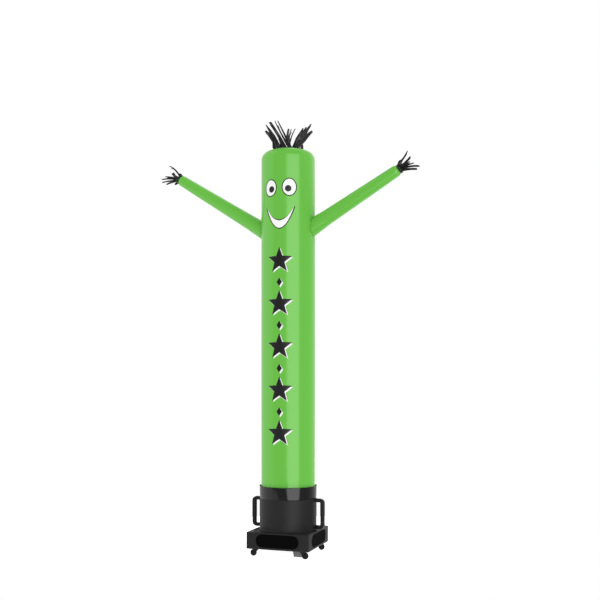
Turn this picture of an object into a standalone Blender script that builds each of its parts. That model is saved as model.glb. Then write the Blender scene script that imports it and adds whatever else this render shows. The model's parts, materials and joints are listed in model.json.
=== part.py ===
"""Inflatable air dancer on its blower: a cloth tube figure, its collar band, and the fan base on castors.

Units are metres, +Z is up, -Y is the figure's front and the floor is z = 0.
"""

import math

import bmesh
import bpy
import numpy as np
from mathutils import Euler, Matrix, Vector

# The gap between pieces that touch, how far a cutter runs past what it cuts, and the cloth's wall.
GAP = 0.0003
OVERSHOOT = 0.02
CLOTH = 0.002

# Blower base: a square housing with a stadium-shaped air inlet in each side.
BASE_HALF = 0.272
BASE_BOTTOM = 0.064
BASE_TOP = 0.204
BASE_WALL = 0.006
BASE_EDGE = 0.007
DECK_HOLE_R = 0.222
INLET_HALF_WIDTH = 0.188
INLET_HALF_HEIGHT = 0.0545
INLET_Z = 0.1365
GRILLE_THICK = 0.0025
GRILLE_SETBACK = 0.002

# Fan drum, its narrower neck, and the two grab handles.
DRUM_R = 0.2415
DRUM_TOP = 0.4685
DRUM_WALL = 0.006
DRUM_EDGE = 0.001
FOOT_FLARE = 0.008
NECK_R = 0.2372
NECK_TOP = 0.535
NECK_WALL = 0.005
HANDLE_REACH = 0.0805
HANDLE_TOP = 0.4675
HANDLE_BOTTOM = 0.2125
HANDLE_THICK = 0.030
HANDLE_GRIP = 0.0335
HANDLE_WIDE = 0.040
HANDLE_CORNER = 0.036
HANDLE_SOFTEN = 0.009
HANDLE_SUNK = 0.012

# Castors: a swivelling fork and a wheel that trails behind its swivel.
SWIVEL_X = 0.197
SWIVEL_Y = 0.220
TRAIL = 0.032
WHEEL_R = 0.0275
WHEEL_HALF = 0.011
TREAD_EDGE = 0.004
AXLE_R = 0.004
FORK_INNER = 0.0125
FORK_PLATE = 0.003
CROWN_R = 0.021
CROWN_LOW = 0.0572
BOSS_R = 0.011
LEG_BACK = 0.018
LEG_AHEAD = 0.020

# Parking foot: a folded plate that stands on the floor behind the front right castor.
PARK_LEFT_TOP = 0.094
PARK_LEFT_LOW = 0.106
PARK_RIGHT = 0.205
PARK_FRONT_Y = -0.157
PARK_DEEP = 0.024
PARK_PLATE = 0.004

# Figure: body tube with a rounded head, a top cap, the collar band and two arms.
TUBE_R = 0.2286
HEM_TOP = 0.540
COLLAR_LOW_R = 0.2425
COLLAR_TOP_R = 0.2445
COLLAR_TOP = 0.572
COLLAR_THICK = 0.0025
NARROWED_BY = 0.570
SHOULDER_R = 0.070
HEAD_TOP = 3.406
SHOULDER_TURN = 82
CAP_R = 0.150
CROWN_RISE = 0.011
ROUND = 56
ARM_ROUND = 30
ARM_OVERLAP = 0.030
ARM_HOLE_R = 0.064
ARM_HOLE_REACH = 0.18
ARM_SPREAD = 0.115
ARM_CUFF = 0.034
ARM_CUFF_END = 0.018
WRIST_TURN = 0.006
WRIST_SEAM = 0.004
ARM_ZONE_LOW = 2.4
ARM_ZONE_HIGH = 3.1

# Streamers.
PATCH_R = 0.126
PATCH_THICK = 0.003
RIBBON_THICK = 0.0015
FAN_TURN = 19
HEAD_LENGTH = 0.028
ROOT_DEEP = 0.016


def clear_scene():
    for obj in list(bpy.data.objects):
        bpy.data.objects.remove(obj, do_unlink=True)


def material(name, colour, roughness):
    made = bpy.data.materials.new(name)
    made.use_nodes = True
    shader = made.node_tree.nodes["Principled BSDF"]
    shader.inputs["Base Color"].default_value = (*colour, 1.0)
    shader.inputs["Roughness"].default_value = roughness
    return made


def add_object(name, mesh, coat):
    obj = bpy.data.objects.new(name, mesh)
    bpy.context.scene.collection.objects.link(obj)
    obj.data.materials.append(coat)
    return obj


def mesh_from(name, points, faces):
    """A mesh with all its faces turned outwards."""
    mesh = bpy.data.meshes.new(name)
    mesh.from_pydata([tuple(p) for p in points], [], faces)
    work = bmesh.new()
    work.from_mesh(mesh)
    bmesh.ops.recalc_face_normals(work, faces=work.faces)
    work.to_mesh(mesh)
    work.free()
    return mesh


def smooth(mesh, angle=35):
    for face in mesh.polygons:
        face.use_smooth = True
    mesh.set_sharp_from_angle(angle=math.radians(angle))


def turned(name, profile, steps, coat, axis="Z"):
    """A closed (radius, height) profile turned about an axis. A radius of 0 is a pole."""
    points, rows = [], []
    for radius, height in profile:
        count = 1 if radius == 0 else steps
        rows.append([len(points) + i for i in range(count)])
        for i in range(count):
            turn = 2 * math.pi * i / steps
            across, up = radius * math.cos(turn), radius * math.sin(turn)
            points.append((across, up, height) if axis == "Z" else (across, height, up))
    faces = []
    for first, second in zip(rows, rows[1:] + rows[:1]):
        if len(first) == len(second) == 1:
            continue
        for i in range(steps):
            corners = [first[i % len(first)], first[(i + 1) % len(first)]]
            corners += [second[(i + 1) % len(second)], second[i % len(second)]]
            faces.append(list(dict.fromkeys(corners)))
    mesh = mesh_from(name, points, faces)
    smooth(mesh)
    return add_object(name, mesh, coat)


def prism(name, outline, low, high, plane, coat):
    """An outline in the XZ, YZ or XY plane, drawn out from low to high across it."""
    spread = {
        "XZ": lambda a, b, c: (a, c, b),
        "YZ": lambda a, b, c: (c, a, b),
        "XY": lambda a, b, c: (a, b, c),
    }[plane]
    count = len(outline)
    points = [spread(a, b, low) for a, b in outline] + [spread(a, b, high) for a, b in outline]
    faces = [list(range(count))[::-1], list(range(count, 2 * count))]
    faces += [[i, (i + 1) % count, count + (i + 1) % count, count + i] for i in range(count)]
    return add_object(name, mesh_from(name, points, faces), coat)


def combine(target, tool, operation, solver="EXACT"):
    """A Boolean of the target with the tool, kept as the target's own mesh. The tool is used up."""
    step = target.modifiers.new("combine", "BOOLEAN")
    step.solver = solver
    step.operation = operation
    step.object = tool
    graph = bpy.context.evaluated_depsgraph_get()
    graph.update()
    result = bpy.data.meshes.new_from_object(target.evaluated_get(graph))
    target.modifiers.clear()
    target.data = result
    bpy.data.objects.remove(tool, do_unlink=True)


def soften(obj, width, segments, angle=30):
    """Rounds the edges that turn by more than the angle."""
    work = bmesh.new()
    work.from_mesh(obj.data)
    limit = math.radians(angle)
    sharp = [e for e in work.edges if e.calc_face_angle(0) > limit]
    bmesh.ops.bevel(work, geom=sharp, offset=width, segments=segments, affect="EDGES", profile=0.5)
    work.to_mesh(obj.data)
    work.free()


def box_outline(half_x, half_y):
    return [(-half_x, -half_y), (half_x, -half_y), (half_x, half_y), (-half_x, half_y)]


def arc(centre, radius, start, end, steps):
    """Points on an arc from one angle in degrees to the other."""
    turns = np.radians(np.linspace(start, end, steps + 1))
    return [(centre[0] + radius * math.cos(t), centre[1] + radius * math.sin(t)) for t in turns]


def stadium(half_width, half_height, centre_z, steps=9):
    straight = half_width - half_height
    right = arc((straight, centre_z), half_height, -90, 90, steps)
    left = arc((-straight, centre_z), half_height, 90, 270, steps)
    return right + left


def build_housing(coat):
    housing = prism("housing", box_outline(BASE_HALF, BASE_HALF), BASE_BOTTOM, BASE_TOP, "XY", coat)
    soften(housing, BASE_EDGE, 3)
    room = BASE_HALF - BASE_WALL
    low, high = BASE_BOTTOM + BASE_WALL, BASE_TOP - BASE_WALL
    combine(housing, prism("room", box_outline(room, room), low, high, "XY", coat), "DIFFERENCE")
    reach = BASE_HALF + OVERSHOOT
    for plane in ("XZ", "YZ"):
        outline = stadium(INLET_HALF_WIDTH, INLET_HALF_HEIGHT, INLET_Z)
        combine(housing, prism("inlet", outline, -reach, reach, plane, coat), "DIFFERENCE")
    hole = arc((0, 0), DECK_HOLE_R, 0, 360, ROUND)[:-1]
    low, high = high - OVERSHOOT, high + OVERSHOOT
    combine(housing, prism("hole", hole, low, high, "XY", coat), "DIFFERENCE")
    smooth(housing.data)


def build_grilles(coat):
    outline = stadium(INLET_HALF_WIDTH - GAP, INLET_HALF_HEIGHT - GAP, INLET_Z)
    outer = BASE_HALF - GRILLE_SETBACK
    inner = outer - GRILLE_THICK
    sides = (
        ("grille_front", "XZ", -outer, -inner),
        ("grille_back", "XZ", inner, outer),
        ("grille_left", "YZ", -outer, -inner),
        ("grille_right", "YZ", inner, outer),
    )
    for name, plane, low, high in sides:
        prism(name, outline, low, high, plane, coat)


def build_drum(coat):
    low = BASE_TOP + GAP
    foot = arc((DRUM_R + FOOT_FLARE, low + FOOT_FLARE + 0.001), FOOT_FLARE, -90, -180, 4)
    inside = DRUM_R - DRUM_WALL
    profile = [(DRUM_R + FOOT_FLARE, low)] + foot
    profile += [(DRUM_R, DRUM_TOP - DRUM_EDGE), (DRUM_R - DRUM_EDGE, DRUM_TOP), (NECK_R, DRUM_TOP)]
    profile += [(NECK_R, NECK_TOP), (NECK_R - NECK_WALL, NECK_TOP)]
    profile += [(NECK_R - NECK_WALL, DRUM_TOP - DRUM_WALL), (inside, DRUM_TOP - 2 * DRUM_WALL)]
    profile += [(inside, low)]
    turned("drum", profile, ROUND, coat)


def handle_outline(start, reach):
    """The D shape of a handle, drawn from its upper root round to its lower root and back inside."""
    outer_c, inner_c = HANDLE_CORNER, HANDLE_CORNER - HANDLE_THICK
    inner = reach - HANDLE_GRIP
    top, low = HANDLE_TOP - outer_c, HANDLE_BOTTOM + outer_c
    outline = [(start, HANDLE_TOP)] + arc((reach - outer_c, top), outer_c, 90, 0, 6)
    outline += arc((reach - outer_c, low), outer_c, 0, -90, 6) + [(start, HANDLE_BOTTOM)]
    outline += [(start, HANDLE_BOTTOM + HANDLE_THICK)]
    outline += arc((inner - inner_c, low), inner_c, -90, 0, 4)
    outline += arc((inner - inner_c, top), inner_c, 0, 90, 4)
    outline += [(start, HANDLE_TOP - HANDLE_THICK)]
    return outline


def build_handle(name, side, coat):
    root = DRUM_R - HANDLE_SUNK
    outline = [(side * x, z) for x, z in handle_outline(root, DRUM_R + HANDLE_REACH)]
    handle = prism(name, outline, -HANDLE_WIDE / 2, HANDLE_WIDE / 2, "XZ", coat)
    soften(handle, HANDLE_SOFTEN, 2, 60)
    inside = arc((0, 0), DRUM_R + GAP, 0, 360, ROUND)[:-1]
    low, high = HANDLE_BOTTOM - OVERSHOOT, HANDLE_TOP + OVERSHOOT
    wall = prism("wall", inside, low, high, "XY", coat)
    combine(handle, wall, "DIFFERENCE")
    smooth(handle.data, 50)


def build_park_foot(coat):
    """A C-shaped folded plate whose left edge leans in towards the floor."""
    front, back = PARK_FRONT_Y, PARK_FRONT_Y + PARK_DEEP
    top = BASE_BOTTOM - GAP
    plate = PARK_PLATE
    section = [(front, 0), (back, 0), (back, plate), (front + plate, plate)]
    section += [(front + plate, top - plate), (back, top - plate), (back, top), (front, top)]
    foot = prism("park_foot", section, PARK_LEFT_LOW, PARK_RIGHT, "YZ", coat)
    for point in foot.data.vertices:
        if point.co.x < (PARK_LEFT_LOW + PARK_RIGHT) / 2:
            lean = point.co.z / top
            point.co.x = PARK_LEFT_LOW + (PARK_LEFT_TOP - PARK_LEFT_LOW) * lean


# Each castor: the corner's sides on X and Y, and the way its wheel trails, in degrees from +X.
CASTORS = (
    ("fr", 1, -1, -12),
    ("fl", -1, -1, 172),
    ("br", 1, 1, -8),
    ("bl", -1, 1, 170),
)


def fork_outline():
    """Side view of a fork leg, from inside the crown down to the axle boss."""
    top = BASE_BOTTOM - GAP - 0.001
    boss = arc((TRAIL, WHEEL_R), BOSS_R, 20, -150, 8)
    return [(-LEG_BACK, top), (LEG_AHEAD, top)] + boss


def build_castor(corner, x, y, turn, metal, tyre):
    """A fork whose origin is on its swivel, with the wheel hung on its axle."""
    outer = FORK_INNER + FORK_PLATE
    crown = arc((0, 0), CROWN_R, 0, 360, 20)[:-1]
    fork = prism("fork_" + corner, crown, CROWN_LOW, BASE_BOTTOM - GAP, "XY", metal)
    for low, high in ((-outer, -FORK_INNER), (FORK_INNER, outer)):
        combine(fork, prism("leg", fork_outline(), low, high, "XZ", metal), "UNION")
    pin = arc((TRAIL, WHEEL_R), AXLE_R, 0, 360, 12)[:-1]
    combine(fork, prism("pin", pin, -outer + 0.001, outer - 0.001, "XZ", metal), "UNION")
    smooth(fork.data)
    fork.location = (x, y, 0)
    fork.rotation_euler = (0, 0, math.radians(turn))
    rim = WHEEL_R - TREAD_EDGE
    bore = AXLE_R + GAP
    profile = [(bore, -WHEEL_HALF), (rim - TREAD_EDGE, -WHEEL_HALF), (rim, -WHEEL_HALF + 0.001)]
    profile += [(WHEEL_R, -WHEEL_HALF + TREAD_EDGE), (WHEEL_R, WHEEL_HALF - TREAD_EDGE)]
    profile += [(rim, WHEEL_HALF - 0.001), (rim - TREAD_EDGE, WHEEL_HALF), (bore, WHEEL_HALF)]
    wheel = turned("wheel_" + corner, profile, 24, tyre, "Y")
    wheel.location = (TRAIL, 0, WHEEL_R)
    wheel.parent = fork


def crown_z(radius, lift=0.0):
    """Height of the head's shallow crown at a radius, inside the shoulder's rounding."""
    edge = TUBE_R - SHOULDER_R
    return HEAD_TOP + CROWN_RISE * (1 - (radius / edge) ** 2) + lift


def head_arc(inset):
    """The rounded shoulder of the head from the tube's side up to the cap's seam."""
    centre = (TUBE_R - SHOULDER_R, HEAD_TOP - SHOULDER_R)
    return arc(centre, SHOULDER_R - inset, 0, SHOULDER_TURN, 7)


def collar_r(height):
    """Outer radius of the collar band, which widens a little towards its top."""
    return float(np.interp(height, (DRUM_TOP, COLLAR_TOP), (COLLAR_LOW_R, COLLAR_TOP_R)))


def hem_r(height):
    """Outer radius of the hem, which lies against the inside of the collar band."""
    return collar_r(height) - COLLAR_THICK - GAP


def build_body(coat):
    low = DRUM_TOP + GAP
    seam = CAP_R + GAP
    waist_r, waist_z = TUBE_R + 0.003, NARROWED_BY - 0.012
    outer = [(hem_r(low), low), (hem_r(HEM_TOP), HEM_TOP), (waist_r, waist_z)]
    outer += [(TUBE_R, NARROWED_BY)]
    outer += head_arc(0) + [(seam, crown_z(seam))]
    inner = [(seam, crown_z(seam, -CLOTH))] + head_arc(CLOTH)[::-1]
    inner += [(TUBE_R - CLOTH, NARROWED_BY), (waist_r - CLOTH, waist_z)]
    inner += [(hem_r(HEM_TOP) - CLOTH, HEM_TOP), (hem_r(low) - CLOTH, low)]
    body = turned("body", outer + inner, ROUND, coat)
    for side in ARMS:
        hole = [(0, -ARM_HOLE_REACH), (ARM_HOLE_R, -ARM_HOLE_REACH)]
        hole += [(ARM_HOLE_R, ARM_HOLE_REACH), (0, ARM_HOLE_REACH)]
        tool = turned("hole", hole, ARM_ROUND, coat)
        tool.matrix_world = arm_frame(side)
        combine(body, tool, "DIFFERENCE")
    smooth(body.data)


def build_cap(coat):
    rings = np.linspace(0, CAP_R, 6)
    upper = [(r, crown_z(r)) for r in rings]
    lower = [(r, crown_z(r, -CLOTH)) for r in rings[::-1]]
    turned("cap", upper + lower, ROUND, coat)


def build_collar(coat):
    low = DRUM_TOP + GAP
    profile = [(collar_r(low), low), (collar_r(COLLAR_TOP - 0.001), COLLAR_TOP - 0.001)]
    profile += [(COLLAR_TOP_R - 0.001, COLLAR_TOP), (COLLAR_TOP_R - COLLAR_THICK, COLLAR_TOP)]
    profile += [(collar_r(low) - COLLAR_THICK, low)]
    turned("collar", profile, ROUND, coat)


# Each arm: where its axis leaves the tube, its rise in degrees, its length to the wrist,
# and its radius at the root, past the shoulder, before the wrist and at the wrist itself.
ARMS = {
    "right": dict(x=0.2406, z=2.7632, rise=30.6, length=0.834, root=0.071, upper=0.0630,
                  lower=0.0470, wrist=0.0370),
    "left": dict(x=-0.2513, z=2.7622, rise=32.2, length=0.904, root=0.068, upper=0.0615,
                 lower=0.0435, wrist=0.0400),
}


def arm_frame(side):
    """Turns a piece drawn along +Z onto the arm's axis, with its z = 0 on the tube's side."""
    arm = ARMS[side]
    sign = 1 if arm["x"] > 0 else -1
    tilt = sign * math.radians(90 - arm["rise"])
    back = Vector((math.sin(tilt), 0, math.cos(tilt))) * ARM_OVERLAP
    spot = Vector((arm["x"], 0, arm["z"])) - back
    return Matrix.Translation(spot) @ Euler((0, tilt, 0)).to_matrix().to_4x4()


def arm_profile(arm):
    """Outer radius along the arm, measured from a little inside the tube."""
    root, upper, lower, wrist = (arm[part] for part in ("root", "upper", "lower", "wrist"))
    length = arm["length"] + ARM_OVERLAP
    outer = [(root + 0.002, 0), (root, ARM_OVERLAP), (upper, ARM_OVERLAP + ARM_SPREAD)]
    outer += [(lower, length - ARM_CUFF), (lower - 0.002, length - ARM_CUFF_END)]
    outer += [((lower + wrist) / 2 + 0.002, length - WRIST_TURN), (wrist, length)]
    inner = [(r - CLOTH, h) for r, h in outer[:-1]] + [(wrist - WRIST_SEAM, length)]
    return outer + inner[::-1]


def build_arm(side, coat):
    arm = turned("arm_" + side, arm_profile(ARMS[side]), ARM_ROUND, coat)
    arm.matrix_world = arm_frame(side)
    around = arc((0, 0), TUBE_R + GAP, 0, 360, ROUND * 2)[:-1]
    tube = prism("tube", around, ARM_ZONE_LOW, ARM_ZONE_HIGH, "XY", coat)
    combine(arm, tube, "DIFFERENCE")
    smooth(arm.data)


# The columns of the streamer tables. Side is how far the root, middle and tip stand to the right,
# or above the arm's axis at a wrist; out is how far the middle and tip reach; depth runs backwards.
COLUMNS = ("side", "mid_side", "tip_side", "mid_out", "tip_out", "depth", "tip_depth",
           "wide", "mid_wide", "tip_wide")


def strand(row, root_out, side, out, back, rows=7):
    """Points and faces of one flat four-sided ribbon that curves through its middle point."""
    row = dict(zip(COLUMNS, row))
    mid_depth = (row["depth"] + row["tip_depth"]) / 2
    ends = np.array([
        side * row["side"] + out * root_out + back * row["depth"],
        side * row["mid_side"] + out * row["mid_out"] + back * mid_depth,
        side * row["tip_side"] + out * row["tip_out"] + back * row["tip_depth"],
    ])
    points = []
    for t in np.linspace(0, 1, rows):
        blend = np.array([(1 - t) * (1 - 2 * t), 4 * t * (1 - t), t * (2 * t - 1)])
        slope = np.array([4 * t - 3, 4 - 8 * t, 4 * t - 1]) @ ends
        across = np.cross(back, slope) if t else side
        across = across * np.sign(across @ side) / np.linalg.norm(across)
        wide = np.interp(t, (0, 0.5, 1), (row["wide"], row["mid_wide"], row["tip_wide"])) / 2
        for a, b in ((-1, -1), (1, -1), (1, 1), (-1, 1)):
            points.append(blend @ ends + across * wide * a + back * RIBBON_THICK / 2 * b)
    faces = [[3, 2, 1, 0]] + [[4 * rows - 4 + i for i in range(4)]]
    for row_start in range(0, 4 * (rows - 1), 4):
        for i in range(4):
            j = (i + 1) % 4
            faces.append([row_start + i, row_start + j, row_start + 4 + j, row_start + 4 + i])
    return points, faces


def fuse_ribbons(backing, strands, coat):
    """Joins all strands to the backing, which makes one body of them."""
    for points, faces in strands:
        tool = add_object("strand", mesh_from("strand", points, faces), coat)
        combine(backing, tool, "UNION", "MANIFOLD")


# Hair ribbons in the fan's plane, which is turned a little to the figure's left hand.
HAIR = (
    (-0.075, -0.133, -0.196, 0.106, 0.176, -0.044, -0.050, 0.034, 0.032, 0.014),
    (-0.065, -0.125, -0.192, 0.124, 0.230, -0.043, -0.048, 0.032, 0.031, 0.005),
    (-0.008, -0.079, -0.160, 0.138, 0.262, -0.014, -0.020, 0.034, 0.027, 0.019),
    (0.034, -0.052, -0.118, 0.145, 0.280, 0.002, -0.002, 0.036, 0.016, 0.005),
    (0.038, -0.030, -0.094, 0.152, 0.286, 0.014, 0.014, 0.030, 0.017, 0.005),
    (0.010, -0.006, 0.005, 0.120, 0.198, -0.034, -0.036, 0.026, 0.019, 0.011),
    (0.016, 0.009, 0.028, 0.122, 0.198, -0.026, -0.028, 0.020, 0.011, 0.005),
    (0.010, 0.022, 0.061, 0.110, 0.204, -0.042, -0.020, 0.018, 0.009, 0.005),
    (0.040, 0.083, 0.129, 0.116, 0.212, -0.010, -0.014, 0.040, 0.036, 0.006),
    (0.052, 0.101, 0.156, 0.118, 0.217, -0.022, -0.026, 0.036, 0.034, 0.006),
    (0.058, 0.119, 0.198, 0.118, 0.240, -0.036, -0.042, 0.034, 0.036, 0.006),
    (0.064, 0.132, 0.206, 0.100, 0.172, -0.048, -0.054, 0.034, 0.036, 0.015),
    (-0.096, -0.104, -0.118, 0.040, 0.082, -0.062, -0.064, 0.050, 0.056, 0.028),
    (0.108, 0.116, 0.120, 0.040, 0.078, 0.020, 0.022, 0.024, 0.024, 0.010),
    (-0.048, -0.062, -0.084, 0.090, 0.170, 0.058, 0.092, 0.026, 0.018, 0.010),
    (0.052, 0.066, 0.092, 0.086, 0.160, 0.058, 0.096, 0.026, 0.018, 0.010),
)


def build_hair(coat):
    rings = np.linspace(0, PATCH_R, 4)
    lower = [(r, crown_z(r, GAP)) for r in rings]
    upper = [(r, crown_z(r, GAP + PATCH_THICK)) for r in rings[::-1]]
    patch = turned("hair", lower + upper, 40, coat)
    turn = math.radians(FAN_TURN)
    right = np.array([math.cos(turn), math.sin(turn), 0])
    back = np.array([-math.sin(turn), math.cos(turn), 0])
    up = np.array([0, 0, 1.0])
    strands = []
    for row in HAIR:
        inner = max(abs(row[0]) - row[7] / 2, 0)
        root_z = crown_z(math.hypot(inner, row[5]), GAP + PATCH_THICK * 0.3)
        points, faces = strand(row, root_z - HEAD_TOP, right, up, back)
        strands.append(([p + up * HEAD_TOP for p in points], faces))
    fuse_ribbons(patch, strands, coat)


# Wrist ribbons, gathered in the head that closes each wrist.
HANDS = {
    "right": (
        (0.026, 0.051, 0.085, 0.078, 0.142, -0.010, -0.014, 0.020, 0.014, 0.006),
        (0.008, 0.019, 0.040, 0.076, 0.137, 0.006, 0.010, 0.024, 0.021, 0.010),
        (-0.005, -0.017, -0.036, 0.080, 0.135, -0.018, -0.024, 0.020, 0.014, 0.006),
        (-0.008, -0.037, -0.087, 0.089, 0.162, 0.000, -0.048, 0.020, 0.012, 0.005),
        (-0.014, -0.044, -0.101, 0.087, 0.163, -0.008, -0.056, 0.014, 0.009, 0.004),
        (-0.016, -0.044, -0.081, 0.074, 0.129, 0.010, 0.014, 0.022, 0.017, 0.012),
        (-0.022, -0.038, -0.052, 0.042, 0.066, -0.016, -0.020, 0.014, 0.014, 0.010),
        (0.020, 0.037, 0.035, 0.042, 0.066, -0.020, -0.028, 0.026, 0.030, 0.014),
        (0.004, 0.002, -0.003, 0.046, 0.088, -0.026, -0.034, 0.026, 0.026, 0.006),
        (0.010, 0.014, 0.020, 0.060, 0.110, 0.024, 0.044, 0.016, 0.012, 0.006),
    ),
    "left": (
        (0.016, 0.049, 0.054, 0.088, 0.162, -0.010, -0.014, 0.016, 0.012, 0.005),
        (0.024, 0.036, 0.032, 0.034, 0.058, 0.008, 0.012, 0.022, 0.022, 0.012),
        (0.010, 0.004, 0.017, 0.056, 0.094, -0.020, -0.028, 0.020, 0.019, 0.021),
        (0.002, -0.018, -0.048, 0.088, 0.161, 0.004, 0.006, 0.018, 0.012, 0.006),
        (-0.004, -0.036, -0.083, 0.082, 0.142, -0.006, -0.056, 0.020, 0.013, 0.008),
        (-0.012, -0.052, -0.105, 0.076, 0.132, 0.014, -0.044, 0.020, 0.013, 0.008),
        (-0.018, -0.053, -0.100, 0.058, 0.098, -0.014, -0.020, 0.022, 0.016, 0.012),
        (-0.024, -0.043, -0.062, 0.024, 0.040, 0.004, 0.006, 0.020, 0.020, 0.012),
        (0.004, -0.004, -0.020, 0.058, 0.104, 0.026, 0.046, 0.016, 0.012, 0.006),
    ),
}


def build_tassel(side, coat):
    """The gathered head that closes the wrist, and its streamers."""
    arm = ARMS[side]
    radius = arm["wrist"]
    high = HEAD_LENGTH
    profile = [(0, GAP), (radius, GAP), (radius + 0.003, high * 0.36)]
    profile += [(radius - 0.002, high * 0.79), (radius - 0.012, high), (0, high)]
    head = turned("tassel_" + side, profile, 20, coat)
    sign = 1 if side == "right" else -1
    axes = np.array([-sign, 0, 0]), np.array([0, 0, 1]), np.array([0, 1, 0])
    roots = np.linspace(high - ROOT_DEEP, high - ROOT_DEEP / 2, len(HANDS[side]))
    strands = [strand(row, root, *axes) for row, root in zip(HANDS[side], roots)]
    fuse_ribbons(head, strands, coat)
    wrist = Matrix.Translation((0, 0, arm["length"] + ARM_OVERLAP))
    head.matrix_world = arm_frame(side) @ wrist


def main():
    clear_scene()
    green = material("green_nylon", (0.16, 0.52, 0.07), 0.45)
    black = material("black_nylon", (0.02, 0.02, 0.022), 0.5)
    collar = material("collar_nylon", (0.03, 0.03, 0.033), 0.3)
    shell = material("blower_plastic", (0.035, 0.035, 0.037), 0.55)
    mesh = material("grille_mesh", (0.01, 0.01, 0.01), 0.6)
    metal = material("castor_fork", (0.03, 0.03, 0.032), 0.5)
    tyre = material("castor_wheel", (0.025, 0.025, 0.026), 0.6)
    steel = material("foot_steel", (0.18, 0.18, 0.18), 0.5)
    build_housing(shell)
    build_grilles(mesh)
    build_drum(shell)
    build_handle("handle_right", 1, shell)
    build_handle("handle_left", -1, shell)
    build_park_foot(steel)
    for corner, x, y, turn in CASTORS:
        build_castor(corner, x * SWIVEL_X, y * SWIVEL_Y, turn, metal, tyre)
    build_body(green)
    build_cap(green)
    build_collar(collar)
    for side in ARMS:
        build_arm(side, green)
        build_tassel(side, black)
    build_hair(black)


main()
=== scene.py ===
# Inflatable air dancer on its fan blower: cloth, ribbons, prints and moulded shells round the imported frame.
import json
from math import atan2, copysign, cos, exp, hypot, pi, radians, sin, sqrt

import bmesh
import bpy
from mathutils import Euler, Matrix, Vector, noise


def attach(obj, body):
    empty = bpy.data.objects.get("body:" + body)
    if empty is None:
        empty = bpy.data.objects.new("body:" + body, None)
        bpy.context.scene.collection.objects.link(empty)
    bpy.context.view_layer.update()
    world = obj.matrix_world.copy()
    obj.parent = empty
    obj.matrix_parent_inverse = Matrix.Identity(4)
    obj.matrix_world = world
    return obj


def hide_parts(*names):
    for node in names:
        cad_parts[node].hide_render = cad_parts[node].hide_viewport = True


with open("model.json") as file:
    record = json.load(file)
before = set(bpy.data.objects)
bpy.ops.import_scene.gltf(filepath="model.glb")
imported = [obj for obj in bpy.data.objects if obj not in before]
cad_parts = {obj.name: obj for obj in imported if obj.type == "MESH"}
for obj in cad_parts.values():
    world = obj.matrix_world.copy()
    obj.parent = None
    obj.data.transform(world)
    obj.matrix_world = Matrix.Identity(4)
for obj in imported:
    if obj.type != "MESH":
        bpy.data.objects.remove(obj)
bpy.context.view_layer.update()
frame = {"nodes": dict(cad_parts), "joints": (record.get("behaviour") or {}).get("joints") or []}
fullTurn = 2 * pi

# Camera, room and light. The room is even for matt surfaces, and gloss sees panels in it.
studio = {
    "cameraPlace": (2.5486, -7.1221, 1.4244),
    "cameraTurn": 18.93,        # degrees to the left of +Y
    "cameraPitch": 1.4516,      # degrees up
    "lens": 53.34,
    "frameShiftUp": 0.103,
    "roomLight": 1.10,          # light on matt surfaces
    "rightLean": 0.10,          # how much more of it comes from the right than from the middle
    "floorRadius": 2.1,
    "floorGlow": 0.92,
}

# What gloss sees round it. Bearings are degrees to the right of the camera, as the object sees it,
# and heights are degrees above the horizon.
reflections = {
    "dark": 0.03,               # the room between its panels
    "soft": 3.0,                # half the width of a panel's edge
    "keyGlow": 2.45, "keyFoot": -38.0, "keyTop": 19.0,
    "upperGlow": 0.27, "upperFrom": 76.0, "upperFoot": 12.0,    # the brighter part of the right panel
    "backFrom": 158.0,
}

# Edges and glows that change on the way: what they follow, how, from where to where, and from which value
# to which.
slopes = {
    "keyLeft": ("height", "LINEAR", -16.5, -7.0, 1.5, -5.5),
    "keyRight": ("height", "LINEAR", -16.5, -7.0, 43.0, 47.0),
    "sideNear": ("height", "LINEAR", -7.5, -6.0, -47.0, -67.0),
    "sideSlant": ("height", "LINEAR", -16.5, -7.0, 16.0, 0.0),
    "sideTop": ("bearing", "LINEAR", -140.0, -118.0, 38.0, 62.0),
    "sideGlow": ("bearing", "LINEAR", -110.0, -47.0, 0.78, 0.42),
    "rightGlow": ("bearing", "SMOOTHSTEP", 78.0, 146.0, 0.0, 0.75),
    "rightFade": ("height", "SMOOTHSTEP", 27.0, 33.0, 1.0, 0.65),
    "backGlow": ("height", "LINEAR", -9.0, 1.0, 1.7, 0.35),
}


def hexColour(text, strength=1.0):
    # sRGB hex to the linear colour that shaders take, made paler or deeper by strength
    channels = [int(text[i:i + 2], 16) / 255 for i in (1, 3, 5)]
    linear = [c / 12.92 if c <= 0.04045 else ((c + 0.055) / 1.055) ** 2.4 for c in channels]
    return [min(1.0, c * strength) for c in linear] + [1.0]


def addNode(tree, kind, inputs=None, **settings):
    # one node, with its own settings and with its inputs set or linked. It gives the node's outputs.
    node = tree.nodes.new("ShaderNode" + kind)
    for name, value in settings.items():
        setattr(node, name, value)
    for name, value in (inputs or {}).items():
        if isinstance(value, bpy.types.NodeSocket):
            tree.links.new(value, node.inputs[name])
        else:
            node.inputs[name].default_value = value
    return node.outputs


def setUpCamera():
    lensData = bpy.data.cameras.new("camera")
    lensData.lens = studio["lens"]
    lensData.sensor_width = 36
    lensData.shift_y = studio["frameShiftUp"]
    lensData.clip_end = 100
    camera = bpy.data.objects.new("camera", lensData)
    bpy.context.scene.collection.objects.link(camera)
    camera.location = studio["cameraPlace"]
    camera.rotation_euler = Euler((radians(90 + studio["cameraPitch"]), 0,
                                   radians(studio["cameraTurn"])))
    bpy.context.scene.camera = camera
    bpy.context.scene.view_settings.view_transform = "Standard"


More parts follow.
